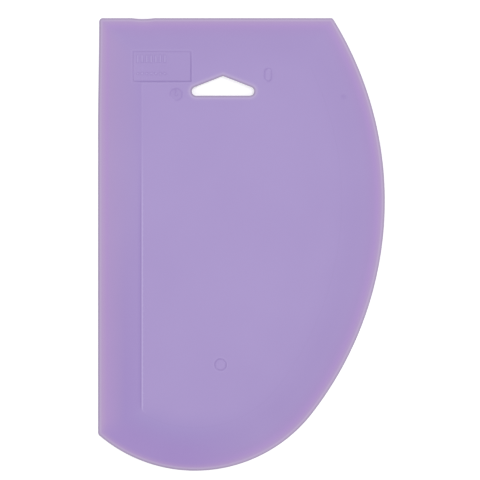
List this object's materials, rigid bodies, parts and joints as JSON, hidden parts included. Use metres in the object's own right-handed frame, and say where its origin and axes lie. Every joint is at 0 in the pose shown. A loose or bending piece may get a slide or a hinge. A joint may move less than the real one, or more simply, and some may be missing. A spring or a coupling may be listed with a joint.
{
  "type": "bench scraper",
  "caption": "Flexible D-shaped bench and dough scraper: a thin translucent plastic plate with a straight edge, a curved edge, bevelled rims and a slot to hang it by.",
  "frame": {"origin": "under the middle of the bounding box, in the plane of the flat back", "axes": "+X from the straight edge towards the curved edge, +Y along the straight edge towards the short top edge and the hang slot, +Z out of the bevelled front"},
  "size_m": [0.1266, 0.2, 0.0022],
  "materials": {
    "lilac_plastic": "satin"
  },
  "bodies": {
    "root": {"scraper_plate": "lilac_plastic"}
  },
  "joints": []
}
